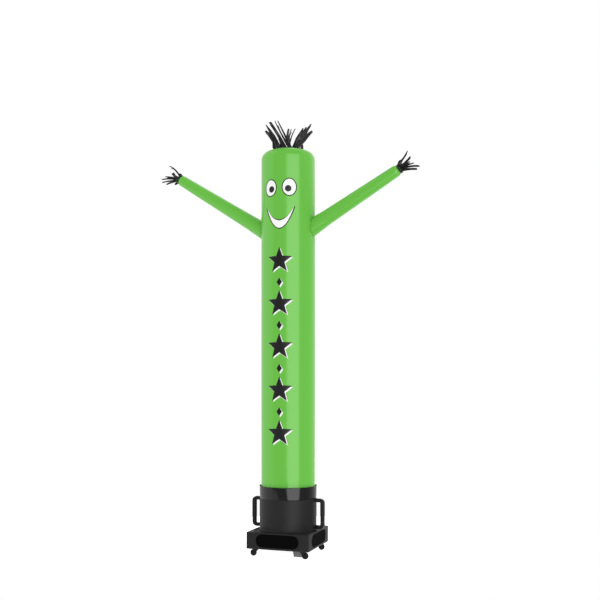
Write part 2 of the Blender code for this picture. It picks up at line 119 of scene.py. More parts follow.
def glossyRoom(tree, toRight, toCamera, upwards):
    # brightness by direction: a key panel by the camera, a panel on each side and a pale floor behind
    angles = {}
    for name, operation, parts in (("bearing", "ARCTAN2", {0: toRight, 1: toCamera}),
                                   ("height", "ARCSINE", {0: upwards})):
        turned = addNode(tree, "Math", parts, operation=operation)[0]
        angles[name] = addNode(tree, "Math", {0: turned}, operation="DEGREES")[0]
    bearing, height = angles["bearing"], angles["height"]
    sloped = {}
    for name, (reading, form, start, end, low, high) in slopes.items():
        sloped[name] = addNode(tree, "MapRange", {"Value": angles[reading], "From Min": start, "From Max": end,
                                                  "To Min": low, "To Max": high}, interpolation_type=form)[0]
    r = reflections

    def panel(glow, *edges):
        # glow where the first value of each pair is above the second, fading over the soft edge
        for above, below in edges:
            past = addNode(tree, "Math", {0: above, 1: below}, operation="SUBTRACT")[0]
            share = addNode(tree, "MapRange", {"Value": past, "From Min": -r["soft"], "From Max": r["soft"]},
                            interpolation_type="SMOOTHSTEP")[0]
            glow = addNode(tree, "Math", {0: glow, 1: share}, operation="MULTIPLY")[0]
        return glow

    key = panel(r["keyGlow"], (bearing, sloped["keyLeft"]), (sloped["keyRight"], bearing),
                (height, r["keyFoot"]), (r["keyTop"], height))
    sideEdge = addNode(tree, "Math", {0: sloped["sideNear"], 1: sloped["sideSlant"]}, operation="ADD")[0]
    side = panel(sloped["sideGlow"], (sideEdge, bearing), (sloped["sideTop"], height))
    upper = panel(r["upperGlow"], (bearing, r["upperFrom"]), (height, r["upperFoot"]))
    right = addNode(tree, "Math", {0: sloped["rightGlow"], 1: upper}, operation="ADD")[0]
    right = addNode(tree, "Math", {0: right, 1: sloped["rightFade"]}, operation="MULTIPLY")[0]
    aside = addNode(tree, "Math", {0: bearing}, operation="ABSOLUTE")[0]
    total = r["dark"]
    for glow in (key, side, right, panel(sloped["backGlow"], (aside, r["backFrom"]))):
        total = addNode(tree, "Math", {0: glow, 1: total}, operation="ADD")[0]
    return total


def setUpRoom():
    # White behind the object, even light for matt surfaces, and the panels for gloss
    world = bpy.data.worlds.new("studioRoom")
    bpy.context.scene.world = world
    world.use_nodes = True
    world.cycles.sampling_method = "NONE"
    tree = world.node_tree
    tree.nodes.clear()
    turn = radians(studio["cameraTurn"])
    direction = addNode(tree, "TexCoord")["Generated"]
    along = [addNode(tree, "VectorMath", {0: direction, 1: axis}, operation="DOT_PRODUCT")["Value"]
             for axis in ((cos(turn), sin(turn), 0), (sin(turn), -cos(turn), 0), (0, 0, 1))]
    light = studio["roomLight"]
    leaning = addNode(tree, "Math", {0: along[0], 1: light * studio["rightLean"], 2: light},
                      operation="MULTIPLY_ADD")[0]
    matt, glossy, seen = [addNode(tree, "Background", {"Color": (1, 1, 1, 1), "Strength": strength})[0]
                          for strength in (leaning, glossyRoom(tree, *along), 1.0)]
    rayKind = addNode(tree, "LightPath")
    lit = addNode(tree, "MixShader", {0: rayKind["Is Glossy Ray"], 1: matt, 2: glossy})[0]
    shown = addNode(tree, "MixShader", {0: rayKind["Is Camera Ray"], 1: lit, 2: seen})[0]
    addNode(tree, "OutputWorld", {"Surface": shown})


def startMaterial(name, sockets):
    # a Principled material with its even values on the shader's own sockets
    material = bpy.data.materials.new(name)
    material.use_nodes = True
    tree = material.node_tree
    shader = tree.nodes["Principled BSDF"]
    for socket, value in sockets.items():
        shader.inputs[socket].default_value = value
    return material, tree, shader


def endMaterial(tree, shader, height, bump, factor=None, tones=None):
    # relief of the bump's strength and depth in metres, and a colour that the factor takes from tone to tone
    relief = addNode(tree, "Bump", {"Strength": bump[0], "Distance": bump[1], "Height": height})["Normal"]
    tree.links.new(relief, shader.inputs["Normal"])
    if tones:
        colour = addNode(tree, "Mix", {"Factor": factor, "A": tones[0], "B": tones[1]}, data_type="RGBA")
        tree.links.new(colour["Result"], shader.inputs["Base Color"])


def grainedFinish(name, sockets, drift, bump, tones=None, rough=None, grain=None):
    # The drift is a noise that the tone and the roughness follow. The relief is that noise too, unless
    # grain names a pattern for it: its kind of node, output, inputs and settings.
    material, tree, shader = startMaterial(name, sockets)
    place = addNode(tree, "TexCoord")["Object"]
    cloud = height = addNode(tree, "TexNoise", {"Vector": place, **drift})["Fac"]
    if grain:
        kind, output, inputs, settings = grain
        height = addNode(tree, kind, {"Vector": place, **inputs}, **settings)[output]
    if rough:
        gloss = addNode(tree, "MapRange", {"Value": cloud, "To Min": rough[0], "To Max": rough[1]})[0]
        tree.links.new(gloss, shader.inputs["Roughness"])
    endMaterial(tree, shader, height, bump, cloud, tones)
    return material


def toObject(name, work, materials):
    mesh = bpy.data.meshes.new(name)
    work.to_mesh(mesh)
    work.free()
    for material in materials:
        mesh.materials.append(material)
    item = bpy.data.objects.new(name, mesh)
    bpy.context.scene.collection.objects.link(item)
    return item


def layFloor():
    # Matt white paper sweep: no gloss, and a little of its own light so that its edge melts into the room
    paper = grainedFinish("mattPaperSweep", {
        "Base Color": hexColour("#F6F6F6"), "Roughness": 0.9, "Specular IOR Level": 0.0,
        "Emission Color": (1, 1, 1, 1), "Emission Strength": studio["floorGlow"]},
        {"Scale": 900.0, "Detail": 2.0}, (0.05, 0.0004))
    work = bmesh.new()
    bmesh.ops.create_circle(work, cap_ends=True, segments=96, radius=studio["floorRadius"])
    floor = toObject("floor", work, [paper])
    floor.visible_diffuse = False
    floor.visible_glossy = False


setUpCamera()
setUpRoom()
layFloor()
print("camera, room and floor are set")


# Cloth and plastic finishes.
clothMap = "clothMetres"    # UV map that holds the flat cloth's own metres


def coatedNylon(name, colour, paler, roughness, gloss, sheen, patchScale, patchEnds):
    # Coated ripstop nylon: a smooth satin film over a fine weave, with its grid of doubled threads just showing.
    # Its paler patches are where the noise is past patchEnds, and their size is one metre over patchScale: on the
    # green cloth they are a slight random tone, on the black ribbons they are painted sheen.
    material, tree, shader = startMaterial(name, {
        "Roughness": roughness, "IOR": 1.5, "Specular IOR Level": gloss, "Sheen Weight": sheen,
        "Sheen Roughness": 0.4})
    cloth = addNode(tree, "UVMap", uv_map=clothMap)["UV"]
    place = addNode(tree, "TexCoord")["Object"]
    drift = addNode(tree, "TexNoise", {"Vector": place, "Scale": patchScale, "Detail": 1.0})["Fac"]
    # share of the paler tone: random tone drift on the green, painted sheen on the black
    driftAndSheenShare = addNode(tree, "MapRange", {"Value": drift, "From Min": patchEnds[0], "From Max": patchEnds[1]})[0]
    tone = addNode(tree, "Mix", {"Factor": driftAndSheenShare, "A": hexColour(colour), "B": hexColour(paler)},
                   data_type="RGBA")["Result"]
    # doubled threads every 8 mm, drawn 0.8 mm wide and a little deeper in colour, so that they show
    grid = addNode(tree, "TexBrick", {"Vector": cloth, "Scale": 1.0, "Mortar Size": 0.0004, "Mortar Smooth": 1.0,
                                      "Brick Width": 0.008, "Row Height": 0.008}, offset=0.0, squash=1.0)["Fac"]
    threads = addNode(tree, "Math", {0: grid, 1: 0.14}, operation="MULTIPLY")[0]
    # slack between the threads, about 30 mm across
    slack = addNode(tree, "TexNoise", {"Vector": cloth, "Scale": 33.0, "Detail": 3.0, "Roughness": 0.45})["Fac"]
    height = addNode(tree, "Math", {0: grid, 1: 0.12, 2: slack}, operation="MULTIPLY_ADD")[0]
    endMaterial(tree, shader, height, (0.05, 0.001), threads, (tone, hexColour(colour, 0.6)))
    return material


def printInk(name, colour):
    # Screen-printed ink: flat and a little duller than the coated cloth under it, with its grain of 2 mm
    return grainedFinish(name, {"Roughness": 0.42, "IOR": 1.5}, {"Scale": 500.0, "Detail": 2.0}, (0.06, 0.0005),
                         (hexColour(colour), hexColour(colour, 0.93)))


def paintedMetal(name, colour, roughness, gloss):
    # Powder coat on pressed steel: its orange peel is 1.5 mm across
    return grainedFinish(name, {"IOR": 1.5, "Specular IOR Level": gloss}, {"Scale": 45.0, "Detail": 5.0},
                         (0.08, 0.0003), (hexColour(colour), hexColour(colour, 1.25)),
                         (roughness - 0.05, roughness + 0.08),
                         ("TexNoise", "Fac", {"Scale": 660.0, "Detail": 1.0}, {}))


greenNylon = coatedNylon("greenRipstopNylon", "#67BC43", "#6ABE46", 0.20, 0.54, 0.0, 2.2, (0.0, 1.0))
# its paler grey patches are painted sheen, standing for light on the glossy ribbon folds
blackNylon = coatedNylon("blackRipstopNylon", "#1A1A1B", "#4C4C4E", 0.36, 0.5, 0.2, 17.0, (0.54, 0.66))
threadGreen = printInk("greenSewingThread", "#4F9A34")
inkWhite = printInk("whiteScreenInk", "#F7F7F7")
inkBlack = printInk("blackScreenInk", "#1D1D1F")
# Coated vinyl-faced webbing: near black, with a wet gloss that shows the panels clearly, and embossed with
# pebbles of 1.5 mm
bandVinyl = grainedFinish("glossVinylBand", {"IOR": 1.5}, {"Scale": 9.0, "Detail": 3.0}, (0.03, 0.0003),
                          (hexColour("#1F1F1F"), hexColour("#222222")), (0.09, 0.13),
                          ("TexVoronoi", "Distance", {"Scale": 660.0}, {}))
# Rotomoulded polyethylene: charcoal, matt, with a fine leather grain of 1.2 mm and scuffs that are duller
shellPlastic = grainedFinish("mouldedPolyethylene", {"IOR": 1.5, "Specular IOR Level": 0.20},
                             {"Scale": 14.0, "Detail": 6.0, "Roughness": 0.6}, (0.10, 0.0003),
                             (hexColour("#252525"), hexColour("#292929")), (0.42, 0.50),
                             ("TexVoronoi", "Distance", {"Scale": 830.0}, {"feature": "SMOOTH_F1"}))
meshSteel = paintedMetal("blackWireMesh", "#121213", 0.5, 0.03)
# the grille plates behind the wires: near black and without gloss, painted shade for the dark inside of the blower
inletShadeBacking = paintedMetal("paintedShadeMeshBacking", "#050505", 0.8, 0.0)
castorSteel = paintedMetal("blackPowderCoat", "#202021", 0.45, 0.2)
# Moulded thermoplastic rubber: dull black, dusted a little paler where it has rolled
castorTyre = grainedFinish("castorRubber", {"IOR": 1.52, "Specular IOR Level": 0.25, "Roughness": 0.6},
                           {"Scale": 120.0, "Detail": 4.0}, (0.1, 0.0003),
                           (hexColour("#202021"), hexColour("#262627")))
footSteel = paintedMetal("greyPaintedSteel", "#727272", 0.5, 0.3)
print("finishes are mixed")


def addPiece(name, work, materials, node=None, body="base", sharp=None, thick=None):
    # the finished bmesh as an object that rides on its body, and may stand for a CAD node
    piece = toObject(name, work, materials)
    piece.data.shade_smooth()
    if sharp:
        piece.data.set_sharp_from_angle(angle=radians(sharp))
    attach(piece, body)
    if node:
        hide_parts(node)
    if thick:
        # a skin gets its thickness inwards, so that its face stays where it was laid
        wall = piece.modifiers.new("thickness", "SOLIDIFY")
        wall.thickness = thick
        wall.offset = -1
    return piece


def roundEdges(piece, width, fromAngle, harden=False):
    soft = piece.modifiers.new("rounded edge", "BEVEL")
    soft.width = width
    soft.segments = 2
    soft.limit_method = "ANGLE"
    soft.angle_limit = radians(fromAngle)
    soft.harden_normals = harden


def steps(start, end, spacing):
    # evenly spaced values from start up to, and with, end
    count = max(1, round(abs(end - start) / spacing))
    return [start + (end - start) * i / count for i in range(count + 1)]


def ripple(x, y, z):
    return noise.noise(Vector((x, y, z)))


def frontAngle(point):
    # the angle round the tube from its front, towards +X
    return atan2(point.x, -point.y)


def spinProfile(work, profile, segments):
    # (radius, height) points turned round Z into a skin that faces outwards
    verts = [work.verts.new((radius, 0, height)) for radius, height in profile]
    edges = [work.edges.new(pair) for pair in zip(verts, verts[1:])]
    bmesh.ops.spin(work, geom=verts + edges, cent=(0, 0, 0), axis=(0, 0, 1), angle=fullTurn,
                   steps=segments, use_merge=True)
    bmesh.ops.remove_doubles(work, verts=work.verts, dist=1e-5)
    bmesh.ops.recalc_face_normals(work, faces=work.faces)


def arc(x, z, radius, start, end, spacing):
    # points on part of a circle, by degrees from +X
    turns = [radians(turn) for turn in steps(start, end, spacing)]
    return [(x + radius * cos(turn), z + radius * sin(turn)) for turn in turns]


def transform(work, *matrices, verts=None):
    # the last of the matrices is the first to act
    for matrix in matrices[::-1]:
        bmesh.ops.transform(work, matrix=matrix, verts=verts or work.verts)


def extrudeBy(work, faces, move):
    # pushes a wall out of the faces and gives the faces at its far end
    made = bmesh.ops.extrude_face_region(work, geom=faces)["geom"]
    bmesh.ops.translate(work, vec=move, verts=[item for item in made if isinstance(item, bmesh.types.BMVert)])
    return [item for item in made if isinstance(item, bmesh.types.BMFace)]


def layClothMap(work, flatPlace):
    # flatPlace gives the flat cloth's metres at a corner of a face
    layer = work.loops.layers.uv.new(clothMap)
    for face in work.faces:
        for loop in face.loops:
            loop[layer].uv = flatPlace(face, loop.vert.co)


def unrolled(radius):
    # metres round and up the cloth, with their join at the back
    def flatPlace(face, point):
        angle = frontAngle(point)
        angle += fullTurn * round((frontAngle(face.calc_center_median()) - angle) / fullTurn)
        return angle * radius, point.z
    return flatPlace


def asStrips(face, point):
    # ribbons are narrow, so their flat place is simply where they are seen from the front
    return point.x + point.y * 0.4, point.z


# The body tube, with its hem under the collar band and its rounded shoulder.
tube = {
    "radius": 0.2300, "segments": 144, "clothThick": 0.0004, "gap": 0.0003, "slack": 0.0007,
    "collarLow": 0.4688, "collarTop": 0.572, "collarLowR": 0.2425, "collarTopR": 0.2445, "collarThick": 0.0025,
    "collarCrown": 0.0009,          # the band is fuller at the middle of its height
    "hemStep": 0.012, "hemEase": 0.003,
    "hemTop": 0.540, "narrowedBy": 0.570, "hemPucker": 0.0016, "puckerReach": 0.045,
    "grooveAbove": 0.018, "grooveDeep": 0.0008, "grooveHalf": 0.006,    # the hem's stitched groove over the band
    "rows": ((0.66, 0.004), (2.60, 0.02), (2.96, 0.008), (3.336, 0.018)),    # up to a height, and how far apart
    "shoulderR": 0.070, "shoulderTurn": 82, "headTop": 3.406, "crownRise": 0.011, "capR": 0.150,
    "armHoleR": 0.052, "armGather": 0.0020, "gatherReach": 0.05, "gatherEnd": 0.30,
    "flatSize": (1.45, 2.96), "flatArea": 4.25,     # once round the tube, and its height with shoulder and hem
}

# The arms: where each axis leaves the tube, its rise in degrees and its radii along the way.
arms = {
    "Right": {"sign": 1, "out": 0.2406, "z": 2.7660, "rise": 30.3, "length": 0.834, "root": 0.072,
              "upper": 0.0643, "lower": 0.0485, "wrist": 0.0370},
    "Left": {"sign": -1, "out": 0.2513, "z": 2.7645, "rise": 32.2, "length": 0.904, "root": 0.069,
             "upper": 0.0635, "lower": 0.0475, "wrist": 0.0400},
}


def collarRadius(height):
    share = (height - tube["collarLow"]) / (tube["collarTop"] - tube["collarLow"])
    return tube["collarLowR"] + (tube["collarTopR"] - tube["collarLowR"]) * share


def crownHeight(radius, lift=0.0):
    edge = tube["radius"] - tube["shoulderR"]
    return tube["headTop"] + tube["crownRise"] * (1 - (radius / edge) ** 2) + lift


def tubeRelief(angle, height):
    # how far the filled cloth stands off its round shape
    acrossway, frontway = sin(angle), cos(angle)
    relief = tube["slack"] * ripple(acrossway * 1.6, frontway * 1.6, height * 0.9)
    aboveHem = height - tube["collarTop"]
    if aboveHem > -0.02:
        fade = exp(-max(aboveHem, 0) / tube["puckerReach"])
        relief += tube["hemPucker"] * fade * ripple(acrossway * 7, frontway * 7, height * 3)
        fromGroove = (aboveHem - tube["grooveAbove"]) / tube["grooveHalf"]
        relief -= tube["grooveDeep"] * exp(-fromGroove ** 2)
    for arm in arms.values():
        aside = (angle - arm["sign"] * pi / 2) * tube["radius"]
        above = height - arm["z"]
        distance = hypot(aside, above)
        if distance < tube["gatherEnd"]:
            fade = exp(-abs(distance - arm["root"]) / tube["gatherReach"])
            turn = atan2(above, aside)
            folds = cos(9 * turn + 1.3 * sin(2 * turn)) * 0.6
            folds += ripple(cos(turn) * 3, sin(turn) * 3, distance * 6)
            relief += tube["armGather"] * fade * folds
    return relief


def armFrame(arm):
    # turns a piece drawn up Z onto the arm's axis
    tilt = arm["sign"] * radians(90 - arm["rise"])
    place = Matrix.Translation((arm["sign"] * arm["out"], 0, arm["z"]))
    return place @ Euler((0, tilt, 0)).to_matrix().to_4x4()


def makeTubeCloth():
    profile = [(collarRadius(z) - tube["collarThick"] - tube["gap"], z)
               for z in steps(tube["collarLow"], tube["hemTop"], tube["hemStep"])]
    profile.append((tube["radius"] + tube["hemEase"], tube["narrowedBy"] - tube["hemStep"]))
    heights = [tube["narrowedBy"]]
    for top, spacing in tube["rows"]:
        heights += steps(heights[-1], top, spacing)[1:]
    profile += [(tube["radius"], z) for z in heights]
    profile += arc(tube["radius"] - tube["shoulderR"], heights[-1], tube["shoulderR"], 0, tube["shoulderTurn"], 5)[1:]
    seam = tube["capR"] + tube["gap"]
    profile.append((seam, crownHeight(seam)))
    work = bmesh.new()
    spinProfile(work, profile, tube["segments"])
    layClothMap(work, unrolled(tube["radius"]))
    for vert in work.verts:
        reach = vert.co.xy.length
        if vert.co.z > tube["hemTop"] + 0.001 and reach > tube["capR"] + 0.01:
            vert.co.xy *= 1 + tubeRelief(frontAngle(vert.co), vert.co.z) / reach
    # the holes that the sleeves open into
    for arm in arms.values():
        inverse = armFrame(arm).inverted()
        middles = [(face, inverse @ face.calc_center_median()) for face in work.faces]
        inside = [face for face, middle in middles if middle.xy.length < tube["armHoleR"] and middle.z > -0.2]
        bmesh.ops.delete(work, geom=inside, context="FACES")
    piece = addPiece("tubeCloth", work, [greenNylon], "body", thick=tube["clothThick"])


capDisc = {"rings": 14, "segments": 96, "puckers": 30, "puckerDepth": 0.0006, "drawnIn": 0.75,
           "flatSize": (0.302, 0.302), "flatArea": 0.0712}


def makeCapCloth():
    # the round cloth sewn into the shoulder, drawn in a little at its seam
    work = bmesh.new()
    spinProfile(work, [(r, crownHeight(r)) for r in steps(0.0, tube["capR"], tube["capR"] / capDisc["rings"])],
                capDisc["segments"])
    for vert in work.verts:
        edge = max(0.0, vert.co.xy.length / tube["capR"] - capDisc["drawnIn"]) / (1 - capDisc["drawnIn"])
        pucker = edge * sin(capDisc["puckers"] * frontAngle(vert.co)) - edge ** 3
        vert.co.z += capDisc["puckerDepth"] * pucker
    layClothMap(work, lambda face, point: point.xy)
    piece = addPiece("capCloth", work, [greenNylon], "cap", thick=tube["clothThick"])


sleeve = {
    "segments": 56, "rows": 64,
    "spread": 0.115,                # how far the root's flare reaches
    "allowance": 0.003,             # sewn in under the tube's cloth
    "rootEase": 0.004, "cuff": 0.034, "cuffEnd": 0.018, "cuffStep": 0.002, "wristTurn": 0.006,
    "slack": 0.0007, "seams": 0.02, "rootGathers": 9, "wristGathers": 11,
    "rootGather": 0.0014, "rootReach": 0.035, "wristGather": 0.0013, "wristReach": 0.022,
    "slackFrom": 1 / 12, "gatherFrom": 1 / 40,      # shares of the length over which they set in
    "closer": 0.035,                # how much closer the rows stand near the wrist
}


def sleeveRadius(arm, along):
    # radius at a distance along the arm, from knots joined by straight runs
    length, lower, wrist, step = arm["length"], arm["lower"], arm["wrist"], sleeve["cuffStep"]
    knots = ((-0.06, arm["root"] + sleeve["rootEase"]), (0.0, arm["root"]), (sleeve["spread"], arm["upper"]),
             (length - sleeve["cuff"], lower), (length - sleeve["cuffEnd"], lower - step),
             (length - sleeve["wristTurn"], (lower + wrist) / 2 + step), (length, wrist))
    for (startAt, startR), (endAt, endR) in zip(knots, knots[1:]):
        if along <= endAt:
            return startR + (endR - startR) * max(0.0, (along - startAt) / (endAt - startAt))
    return wrist


def sleeveLine(arm, turn):
    # how far a line along the sleeve stands to the back and up, as shares of its radius, and where it meets the
    # round tube, from the arm's own zero. Up is away from the floor, which is -X or +X in the arm's own frame.
    across, up = sin(turn), -arm["sign"] * cos(turn)
    rise = radians(arm["rise"])
    startX = arm["out"] - up * arm["root"] * sin(rise)
    wanted = sqrt(tube["radius"] ** 2 - (across * arm["root"]) ** 2)
    return across, up, (wanted - startX) / cos(rise)


def makeSleeve(side, arm):
    work = bmesh.new()
    spinProfile(work, [(1.0, row) for row in range(sleeve["rows"] + 1)], sleeve["segments"])
    for vert in work.verts:
        share = vert.co.z / sleeve["rows"]
        turn = atan2(vert.co.y, vert.co.x)
        across, up, seamAt = sleeveLine(arm, turn)
        start = seamAt - sleeve["allowance"]
        packed = share if share < 0.5 else share + sleeve["closer"] * sin(fullTurn * share)
        along = start + (arm["length"] - start) * packed
        near = exp(-(along - start) / sleeve["rootReach"])
        far = exp(-(arm["length"] - along) / sleeve["wristReach"])
        folds = ripple(across * 2.2, up * 2.2, along * 4)
        radius = sleeveRadius(arm, along) + sleeve["slack"] * folds * min(1.0, share / sleeve["slackFrom"])
        setIn = min(1.0, share / sleeve["gatherFrom"])
        radius += sleeve["rootGather"] * near * setIn * cos(sleeve["rootGathers"] * turn)
        radius += sleeve["wristGather"] * far * cos(sleeve["wristGathers"] * turn + 2 * folds)
        vert.co = Vector((radius * cos(turn), radius * sin(turn), along))
    layClothMap(work, unrolled(arm["upper"]))
    transform(work, armFrame(arm))
    bmesh.ops.recalc_face_normals(work, faces=work.faces)
    piece = addPiece("sleeve" + side, work, [greenNylon], "arm_" + side.lower(),
                     thick=tube["clothThick"])


makeTubeCloth()
makeCapCloth()
for side, arm in arms.items():
    makeSleeve(side, arm)
print("green cloth is laid")


# Lock-stitch along the seams: short threads that follow each seam line.
stitching = {"pitch": 0.0052, "length": 0.0036, "thread": 0.00055, "rowApart": 0.0035, "backSeam": (0.60, 3.33),
             "outsideRoot": 0.006}


def addStitches(work, points, normals):
    # one four-sided thread from each point towards the next
    for point, after, normal in zip(points, points[1:], normals):
        run = after - point
        along = run.normalized()
        axes = Matrix((normal.cross(along).normalized(), along, normal)).transposed().to_4x4()
        size = Matrix.Diagonal((stitching["thread"], stitching["length"], stitching["thread"], 1))
        bmesh.ops.create_cube(work, size=1.0, matrix=Matrix.Translation(point + run / 2) @ axes @ size)


def ringPoint(reach, angle, height):
    return Vector((reach * sin(angle), -reach * cos(angle), height))


def tubePoint(angle, height, lift):
    return ringPoint(tube["radius"] + tubeRelief(angle, height) + lift, angle, height)


def makeTubeStitches():
    work = bmesh.new()
    pitch, apart = stitching["pitch"], stitching["rowApart"]
    lift = stitching["thread"] * 0.3
    # two rows beside the seam at the back
    for aside in (-apart, apart):
        angle = pi + aside / tube["radius"]
        points = [tubePoint(angle, z, lift) for z in steps(*stitching["backSeam"], pitch)]
        addStitches(work, points, [Vector((0, 1, 0))] * len(points))
    # one row round the hem, in its groove above the band
    hemHeight = tube["collarTop"] + tube["grooveAbove"]
    points = [tubePoint(turn, hemHeight, lift) for turn in steps(0.0, fullTurn, pitch / tube["radius"])]
    addStitches(work, points, [Vector((p.x, p.y, 0)).normalized() for p in points])
    # two rows round the cap's seam
    for reach in (tube["capR"] - apart, tube["capR"] + 2 * apart):
        points = [ringPoint(reach, turn, crownHeight(reach, lift)) for turn in steps(0.0, fullTurn, pitch / reach)]
        addStitches(work, points, [Vector((0, 0, 1))] * len(points))
    addPiece("tubeStitches", work, [threadGreen])


def makeSleeveStitches(side, arm):
    # one row round the root, just outside its seam
    work = bmesh.new()
    points, normals = [], []
    for turn in steps(0.0, fullTurn, stitching["pitch"] / arm["root"]):
        along = sleeveLine(arm, turn)[2] + stitching["outsideRoot"]
        normals.append(Vector((cos(turn), sin(turn), 0)))
        points.append(normals[-1] * (sleeveRadius(arm, along) + stitching["thread"] * 0.4)
                      + Vector((0, 0, along)))
    addStitches(work, points, normals)
    transform(work, armFrame(arm))
    bmesh.ops.recalc_face_normals(work, faces=work.faces)
    addPiece("sleeveStitches" + side, work, [threadGreen])


makeTubeStitches()
for side, arm in arms.items():
    makeSleeveStitches(side, arm)
print("seams are stitched")


# Prints on the tube. Places are metres across from the front line and metres up from the floor.
facePrint = {
    "eyes": ((-0.080, 3.062, 0.052, 0.066), (0.088, 3.062, 0.056, 0.068)),
    "outline": 0.008, "pupilR": 0.027, "pupilIn": 0.010, "pupilDown": 0.012,
    "smileMiddle": 0.004, "smileTop": 2.900, "smileHalf": 0.124, "smileDrop": 0.115, "smileThick": 0.062,
    "smileStep": 0.08,
}
starPrint = {
    "starHeights": (2.452, 2.094, 1.736, 1.378, 1.020), "across": 0.003, "starR": 0.112,
    "starNotch": 0.047 / 0.112,     # reach of its inner corners as a share
    "diamondHalf": (0.024, 0.036), "shadow": (0.010, -0.010),
}
white, black = 0, 1
inkLift = {"under": 0.0005, "middle": 0.0008, "over": 0.0011, "cell": 0.008, "thick": 0.0002}


def ovalOutline(x, z, halfWide, halfTall, points, start=0.0, notch=1.0):
    # points round an oval, with every second one drawn in by the notch: also a diamond or a star
    outline = []
    for i in range(points):
        turn = start + fullTurn * i / points
        share = notch if i % 2 else 1.0
        outline.append((x + share * halfWide * cos(turn), z + share * halfTall * sin(turn)))
    return outline


def smileOutline(grow):
    # a crescent between two arcs of a parabola, grown by the outline's width
    top, half = facePrint["smileTop"], facePrint["smileHalf"] + grow
    drop, thick = facePrint["smileDrop"], facePrint["smileThick"]
    lower, upper = [], []
    for share in steps(-1.0, 1.0, facePrint["smileStep"]):
        x = facePrint["smileMiddle"] + share * half
        bow = 1 - share * share
        lower.append((x, top - (drop + thick) * bow - grow))
        upper.append((x, top - drop * bow + grow))
    return lower + upper[::-1]


def layPrint(name, layers):
    # each layer is a flat outline, cut into narrow cells and wrapped round the tube, with its lift and its ink
    work = bmesh.new()
    for outline, lift, ink in layers:
        flat = bmesh.new()
        flat.faces.new([flat.verts.new((x, 0, z)) for x, z in outline])
        for values, normal in zip(zip(*outline), (Vector((1, 0, 0)), Vector((0, 0, 1)))):
            for cut in steps(min(values), max(values), inkLift["cell"])[1:-1]:
                bmesh.ops.bisect_plane(flat, geom=flat.verts[:] + flat.edges[:] + flat.faces[:],
                                       plane_co=normal * cut, plane_no=normal)
        for vert in flat.verts:
            vert.co = tubePoint(vert.co.x / tube["radius"], vert.co.z, inkLift[lift])
        bmesh.ops.recalc_face_normals(flat, faces=flat.faces)
        if flat.faces[0].normal.dot(flat.faces[0].calc_center_median() * Vector((1, 1, 0))) < 0:
            bmesh.ops.reverse_faces(flat, faces=flat.faces)
        for face in flat.faces:
            face.material_index = ink
        mesh = bpy.data.meshes.new("cell")
        flat.to_mesh(mesh)
        flat.free()
        work.from_mesh(mesh)
        bpy.data.meshes.remove(mesh)
    addPiece(name, work, [inkWhite, inkBlack], thick=inkLift["thick"])


def faceLayers():
    edge, pupilR = facePrint["outline"], facePrint["pupilR"]
    layers = []
    for x, z, halfWide, halfTall in facePrint["eyes"]:
        pupilX = x - copysign(facePrint["pupilIn"], x)
        layers += [(ovalOutline(x, z, halfWide + edge, halfTall + edge, 40), "under", black),
                   (ovalOutline(x, z, halfWide, halfTall, 40), "middle", white),
                   (ovalOutline(pupilX, z - facePrint["pupilDown"], pupilR, pupilR, 28), "over", black)]
    return layers + [(smileOutline(edge), "under", black), (smileOutline(0.0), "middle", white)]


def starLayers():
    x, heights, reach = starPrint["across"], starPrint["starHeights"], starPrint["starR"]
    shapes = [ovalOutline(x, z, reach, reach, 10, pi / 2, starPrint["starNotch"]) for z in heights]
    shapes += [ovalOutline(x, (upper + lower) / 2, *starPrint["diamondHalf"], 4, -pi / 2)
               for upper, lower in zip(heights, heights[1:])]
    asideX, asideZ = starPrint["shadow"]
    layers = []
    for shape in shapes:
        layers += [([(x + asideX, z + asideZ) for x, z in shape], "under", white), (shape, "middle", black)]
    return layers


layPrint("facePrint", faceLayers())
layPrint("starPrint", starLayers())
print("prints are on")


# Ribbons, in millimetres. Each row gives how far root, middle and tip stand to the side, how far the middle and
# the tip reach out, the depth of root and tip, and the width at root, middle and tip.
ribbonColumns = ("side", "midSide", "tipSide", "midOut", "tipOut", "depth", "tipDepth", "wide", "midWide",
                 "tipWide")
hairRows = (
    (-75, -133, -196, 106, 176, -44, -50, 34, 32, 14),
    (-65, -125, -192, 124, 230, -43, -48, 32, 31, 5),
    (-10, -81, -160, 138, 262, -14, -20, 28, 24, 18),
    (30, -50, -118, 145, 280, 2, -2, 28, 13, 5),
    (38, -28, -94, 152, 286, 14, 14, 26, 14, 5),
    (10, -6, 5, 120, 198, -34, -36, 26, 19, 11),
    (16, 9, 28, 122, 198, -26, -28, 20, 11, 5),
    (10, 22, 61, 110, 204, -42, -20, 18, 9, 5),
    (40, 83, 129, 116, 212, -10, -14, 40, 36, 6),
    (52, 101, 156, 118, 217, -22, -26, 36, 34, 6),
    (58, 119, 198, 118, 240, -36, -42, 34, 36, 6),
    (64, 132, 206, 100, 172, -48, -54, 34, 36, 15),
    (-96, -104, -118, 40, 82, -62, -64, 50, 56, 28),
    (108, 116, 120, 40, 78, 20, 22, 24, 24, 10),
    (-48, -62, -84, 90, 170, 58, 92, 26, 18, 10),
    (52, 66, 92, 86, 160, 58, 96, 26, 18, 10),
)
